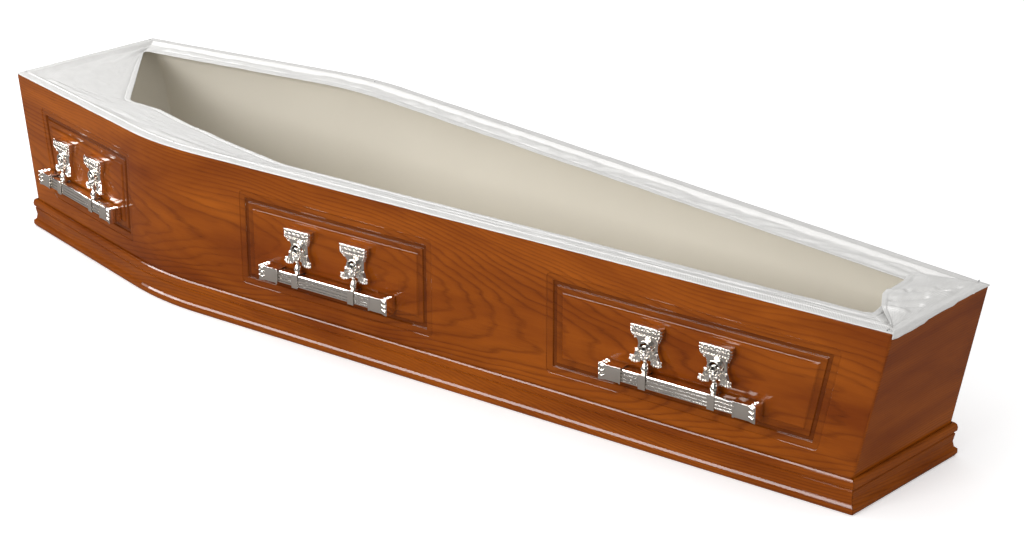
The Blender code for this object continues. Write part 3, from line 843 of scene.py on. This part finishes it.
def frill_height(s, d, width, near, head):
    """Height of the satin s along the rim and d in from its outer edge; near and head are 1 on those runs."""
    hem = width - HEM
    on_board = 1 - step_up(d, 0.017, 0.024)
    wide = step_up(d, 0.070, 0.12)
    # Rounded outer edge, ridge over the board's inner edge, and the fall from there to the hem
    z = RIM_TOP - 0.0012 * max(0.0, 1 - (d + 0.0003) / 0.0022) ** 2
    z += 0.0013 * math.exp(-((d - 0.0192) / 0.0009) ** 2)
    z -= FRILL_DROP * (0.55 * step_up(d, 0.021, 0.030) + 0.45 * step_up(d, 0.030, width))
    # Puckers where it is pinned, then the creases of the loose part: pulls, long streaks or tucks
    z += 0.0004 * on_board * fold(s * 14, d * 260) + 0.0002 * on_board * fold(s * 60, d * 500, 3)
    pulls = 0.0026 * fold(s * 15, d * 38, 1) + 0.0014 * fold(s * 42, d * 50, 5)
    streaks = 0.0026 * fold(s * 5, d * 85, 11) + 0.0010 * fold(s * 22, d * 160, 17)
    tucks = 0.0034 * fold(s * 13, d * 62 + s * 6, 23) * (1 - step_up(d, 0.045, 0.075))
    creases = (1 - near - head) * pulls + near * streaks + head * tucks
    z += looseness(d, hem) * creases * (1 - 0.75 * wide)
    # The turned hem: a second thickness, small gathers on the near side and a line of stitches
    z += 0.0012 * step_up(d, hem - 0.0004, hem + 0.0010)
    z += near * step_up(d, hem, hem + 0.004) * 0.0007 * fold(s * 190, d * 30, 31)
    return z - 0.0007 * math.exp(-((d - hem) / 0.0010) ** 2)


def rim_frill(mat):
    """White satin over the rim: pinned on the board tops, then a loose flange with a broad turned hem."""
    run = frill_runs()
    count = len(run)
    near_start = SIDE_STEPS + FOOT_STEPS
    near_end = near_start + SIDE_STEPS + 1
    hem_line = eased_line([inner for _, _, inner in run], 5)
    travelled, along = 0.0, []
    for i in range(count):
        along.append(travelled)
        travelled += math.dist(run[i][0], run[(i + 1) % count][0])
    rows = []
    for i, s in enumerate(along):
        outer, edge = Vector(run[i][0]), Vector(run[i][1])
        flange = hem_line[i] - edge
        width = ON_BOARD + flange.length
        near, head = float(near_start <= i < near_end), float(i >= near_end)
        row = []
        for d in across_frill(width):
            z = frill_height(s, d, width, near, head)
            if d < 0.0015:
                d += 0.0006 * fold(s * 12, 0.5, 2)
            else:
                d += 0.0022 * looseness(d, width - HEM) * fold(s * 20, 7.5, 4)
            if d < ON_BOARD:
                point = outer.lerp(edge, d / ON_BOARD)
            else:
                point = edge + flange.normalized() * (d - ON_BOARD)
            row.append((point.x, point.y, z))
        rows.append(row)
    along.append(travelled)
    cloth = cloth_grid("rim_frill_satin", rows, True, lambda i, k: (along[i], k * UV_ACROSS))
    finish_with(cloth, "SOLIDIFY", thickness=SATIN_THICK, offset=-1)
    dress(cloth, "rim_frill_satin", mat, "satin", "box", "rim_frill")


# Folds of the foot flap: two ends in the plan, half width and depth, in metres
FLAP_FOLDS = (
    ((0.903, 0.022), (0.942, 0.056), 0.0055, 0.0050),
    ((0.905, -0.020), (0.937, 0.013), 0.0050, 0.0046),
    ((0.931, 0.060), (0.950, 0.080), 0.0050, 0.0030),
    ((0.925, -0.042), (0.948, -0.018), 0.0055, 0.0030),
    ((0.880, 0.005), (0.905, 0.026), 0.0060, -0.0028),
    ((0.935, 0.030), (0.955, 0.050), 0.0060, -0.0025),
    ((0.915, -0.050), (0.946, -0.052), 0.0060, -0.0025),
)
# Hem of the foot flap: share of the way from far to near, and place in the plan
FLAP_HEM = ((0.0, (0.862, 0.0800)), (0.20, (0.8721, 0.0596)), (0.52, (0.8784, -0.0081)),
            (0.74, (0.9043, -0.0497)), (1.0, (0.9600, -0.1080)))
# How far the flap hangs over the foot board, by the same share
FLAP_HANG = ((0.0, 0.0004), (0.34, 0.0008), (0.38, 0.0035), (0.64, 0.0050), (0.68, 0.0085), (0.94, 0.0110),
             (1.0, 0.0085))
FLAP_HEM_WIDTH = HEM * 0.7
# Distance of the stitching from the flap's outer edge
FLAP_STITCHES = 0.0150
# Points of the flap along the foot board and across it
FLAP_STEPS = 150
FLAP_ACROSS = 40


def flap_fold(point):
    """Height that the pulled folds take from the flap at a point of its plan."""
    depth = 0.0
    for start, end, wide, deep in FLAP_FOLDS:
        start, end = Vector(start), Vector(end)
        line = end - start
        share = min(max((point - start).dot(line) / line.length_squared, 0), 1)
        depth += deep * math.exp(-((point - start.lerp(end, share)).length / wide) ** 2)
    return depth


def flap_hem(part):
    """Place of the flap's hem in the plan, by the share of the way from far to near."""
    for (a, p), (b, q) in zip(FLAP_HEM, FLAP_HEM[1:]):
        if part <= b:
            return mix(p, q, (part - a) / (b - a))
    return FLAP_HEM[-1][1]


def foot_flap(mat):
    """The strip's end turned over the foot board: creased, stitched along it, its tip at the corner."""
    rows = []
    for i in range(FLAP_STEPS + 1):
        part = i / FLAP_STEPS
        samples = [flap_hem(min(max(part + k * 0.012, 0), 1)) for k in range(-2, 3)]
        inner = Vector((sum(p[0] for p in samples) / 5, sum(p[1] for p in samples) / 5))
        outer = Vector((LENGTH / 2 + 0.0010, HALF_FOOT - 0.004 - (2 * HALF_FOOT - 0.0035) * part))
        hang = between(FLAP_HANG, part) + 0.0012 * fold(part * 9, 0.3, 40)
        width = (inner - outer).length
        hem = width - FLAP_HEM_WIDTH
        row = []
        for fall in (1.0, 0.66, 0.33):
            x = outer.x + 0.0006 - END_LEAN * hang * fall * 0.6
            row.append((x, outer.y, RIM_TOP - 0.0008 - hang * fall))
        for k in range(FLAP_ACROSS + 1):
            v = k / FLAP_ACROSS
            d = v * width
            point = outer.lerp(inner, v)
            lift = step_up(d, 0.014, 0.026) * (1 - step_up(part, 0.90, 1.0))
            # Rounded outer edge, pulled folds, the turned hem, its droop and two lines of stitches
            z = RIM_TOP + 0.0016 - 0.0020 * max(0.0, 1 - d / 0.003) ** 2
            z += lift * (0.0012 + 0.0014 * fold(point.x * 30, point.y * 30, 2) - flap_fold(point))
            z += 0.0010 * step_up(d, hem, hem + 0.0012)
            z -= 0.0045 * step_up(d, width - 0.035, width) * step_up(width, 0.02, 0.07)
            z -= 0.0007 * math.exp(-((d - hem) / 0.0011) ** 2)
            z -= 0.0009 * math.exp(-((d - FLAP_STITCHES) / 0.0009) ** 2)
            row.append((point.x, point.y, z))
        rows.append(row)
    flap = cloth_grid("foot_flap", rows, False, lambda i, k: (i * UV_ALONG, k * UV_ACROSS))
    finish_with(flap, "SOLIDIFY", thickness=SATIN_THICK, offset=-1)
    dress(flap, "foot_flap", mat, "satin", "box")


def wall_cloth(mat):
    """Cream cloth hung down the inner faces of the walls and tucked in beside the pad, with some slack."""
    top, bottom = HEIGHT - 0.0045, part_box("floor_lining")[0].z + 0.002
    rows, places = [], []
    travelled, last = 0.0, None
    for side in (1, -1):
        for step in range(WALL_STEPS + 1):
            part = step / WALL_STEPS if side > 0 else 1 - step / WALL_STEPS
            row = []
            for k in range(WALL_LEVELS + 1):
                z = top + (bottom - top) * k / WALL_LEVELS
                off = -BOARD - 0.0020
                x = wall_end(-1, off, z) * (1 - part) + wall_end(1, off, z) * part
                slack = math.sin(math.pi * k / WALL_LEVELS) ** 0.7 * step_up(min(part, 1 - part), 0.0, 0.03)
                ripple = 0.0014 * fold(part * 9 * side, z * 3, 4) + 0.0008 * fold(part * 34, z * 5, 8)
                off -= slack * (0.0016 + ripple)
                row.append((x, side * side_y(x, off), z))
            here = row[0][:2]
            travelled += math.dist(here, last) if last else 0
            last = here
            rows.append(row)
            places.append(travelled)
    places.append(travelled + math.dist(rows[-1][0][:2], rows[0][0][:2]))
    cloth = cloth_grid("wall_cloth", rows, True, lambda i, k: (places[i], k * (top - bottom) / WALL_LEVELS))
    finish_with(cloth, "SOLIDIFY", thickness=CREAM_THICK, offset=1)
    dress(cloth, "wall_cloth", mat, "cream_cloth", "box", "side_lining")


def floor_pad(mat):
    """A thin crowned pad on the base board."""
    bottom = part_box("floor_lining")[0].z
    rows = []
    for inset, rise in PAD_EDGE:
        off, z = -BOARD - PAD_GAP - inset, bottom + rise
        shares = [k / PAD_STEPS for k in range(PAD_STEPS + 1)]
        xs = [wall_end(-1, off, z) * (1 - share) + wall_end(1, off, z) * share for share in shares]
        far = [(x, side_y(x, off), z) for x in xs]
        rows.append(far + [(x, -y, z) for x, y, z in reversed(far)])
    bm = bmesh.new()
    layer = bm.loops.layers.uv.new("UVMap")
    loops = [[bm.verts.new(point) for point in row] for row in rows]
    for a, b in zip(loops, loops[1:]):
        for i in range(len(a)):
            j = (i + 1) % len(a)
            bm.faces.new((a[i], a[j], b[j], b[i]))
    bm.faces.new(loops[0])
    bm.faces.new(loops[-1])
    bmesh.ops.triangulate(bm, faces=[face for face in bm.faces if len(face.verts) > 4])
    bmesh.ops.recalc_face_normals(bm, faces=bm.faces)
    for face in bm.faces:
        face.smooth = True
        for loop in face.loops:
            loop[layer].uv = loop.vert.co.xy
    pad = from_faces("floor_pad", bm)
    dress(pad, "floor_pad", mat, "cream_cloth", "box", "floor_lining")


def lining_nails(mat):
    """Small domed pins that hold the cloth to the board tops."""
    pins = [ball(mm(1.3, 1.3, 0.7), (x, y, RIM_TOP + 0.0022), segments=10, rings=6) for x, y in NAILS]
    dress(joined("lining_nails", pins), "lining_nails", mat, "nickel", "box")


# Stage: strengths of the surround to the eye and in reflections, the floor's glow to the eye, and its
# colours the same way
SURROUND, SURROUND_MIRRORED = 0.80, 0.10
FLOOR_SIZE = 60
FLOOR_GLOW = 0.30
FLOOR_SEEN, FLOOR_MIRRORED = (0.93, 0.93, 0.93, 1), (0.26, 0.245, 0.23, 1)
# Lights: place, target, size in metres and watts
SOFTBOXES = {
    "left_softbox": ((-2.9, -0.3, 2.0), (0, 0, 0.2), (1.6, 1.0), 22),
    "front_softbox": ((0.3, -4.2, 2.0), (0, 0, 0.1), (2.4, 1.2), 94),
    "overhead_panel": ((-2.5, -0.7, 2.9), (-2.5, -0.7, 0.0), (4.8, 3.2), 700),
}


def stage_floor():
    bpy.ops.mesh.primitive_plane_add(size=FLOOR_SIZE)
    floor = bpy.context.object
    floor.name = "studio_floor"
    mat, tree, shader = material("studio_floor", Roughness=0.9, Specular_IOR_Level=0.0)
    rays = node(tree, "ShaderNodeLightPath").outputs
    colour = blend_colour(tree, rays["Is Glossy Ray"], FLOOR_SEEN, FLOOR_MIRRORED)
    tree.links.new(colour, shader.inputs["Base Color"])
    shader.inputs["Emission Color"].default_value = (1, 1, 1, 1)
    glow = calc(tree, "MULTIPLY", rays["Is Camera Ray"], FLOOR_GLOW)
    tree.links.new(glow, shader.inputs["Emission Strength"])
    floor.data.materials.append(mat)


def softbox(name, place, target, size, watts):
    light = bpy.data.lights.new(name, "AREA")
    light.shape = "RECTANGLE"
    light.size, light.size_y = size
    light.energy = watts
    obj = in_scene(name, light)
    obj.location = place
    obj.rotation_euler = (Vector(target) - Vector(place)).to_track_quat("-Z", "Y").to_euler()
    return obj


def studio():
    """A bright surround, darker in reflections, two softboxes and a panel that only shows as shine."""
    stage_floor()
    world = bpy.data.worlds.new("studio")
    bpy.context.scene.world = world
    world.use_nodes = True
    tree = world.node_tree
    mirrored = node(tree, "ShaderNodeLightPath").outputs["Is Glossy Ray"]
    strength = calc(tree, "MULTIPLY_ADD", mirrored, SURROUND_MIRRORED - SURROUND, SURROUND)
    tree.links.new(strength, tree.nodes["Background"].inputs["Strength"])
    tree.nodes["Background"].inputs["Color"].default_value = (1, 1, 1, 1)
    lights = {name: softbox(name, *settings) for name, settings in SOFTBOXES.items()}
    lights["overhead_panel"].visible_diffuse = False
    bpy.context.scene.view_settings.view_transform = "Standard"


def camera():
    data = bpy.data.cameras.new("photograph_camera")
    data.lens = CAMERA_LENS
    data.sensor_width = CAMERA_SENSOR
    obj = in_scene("photograph_camera", data)
    obj.location = CAMERA_PLACE
    turns = ((CAMERA_YAW, "Z"), (90 - CAMERA_PITCH, "X"), (CAMERA_ROLL, "Z"))
    yaw, pitch, roll = (Matrix.Rotation(math.radians(angle), 4, axis) for angle, axis in turns)
    obj.rotation_euler = (yaw @ pitch @ roll).to_euler()
    bpy.context.scene.camera = obj


def build():
    figure, ribs = veneer_figure(), cloth_ribs()
    quarter = math.pi / 2
    side_wood = lacquered_wood("side_veneer", figure)
    plain = {"rings": PLAIN_RINGS, "arch": PLAIN_ARCH}
    end_wood = lacquered_wood("end_veneer", figure, (0, 0, quarter), (0.3, 0.0, 0.35), **plain)
    plinth_wood = lacquered_wood("plinth_wood", figure, (0, 0, 0), (2.2, 0, 0.4), **plain)
    plinth_end_wood = lacquered_wood("plinth_end_wood", figure, (0, 0, quarter), (1.2, 0, 0.4), **plain)
    cast = polished_nickel("cast_nickel", ripple_strength=0.18, low=0.82, high=0.97)
    drawn = polished_nickel("drawn_nickel", ripple_strength=0.02, low=0.86, high=0.96)
    # Painted shade: a dark nickel for the hollows of the castings, in place of their shade and the dark wood
    # they mirror
    hollow_shade = polished_nickel("hollow_shade_nickel", ripple_strength=0.1, low=0.05, high=0.16)
    satin, cream = white_satin(ribs), cream_cloth(ribs)
    carcass(side_wood, end_wood)
    plinth_lengths(plinth_wood, plinth_end_wood)
    base(side_wood)
    handles(cast, drawn, hollow_shade)
    rim_frill(satin)
    foot_flap(satin)
    wall_cloth(cream)
    floor_pad(cream)
    lining_nails(nail_steel())
    studio()
    camera()


build()
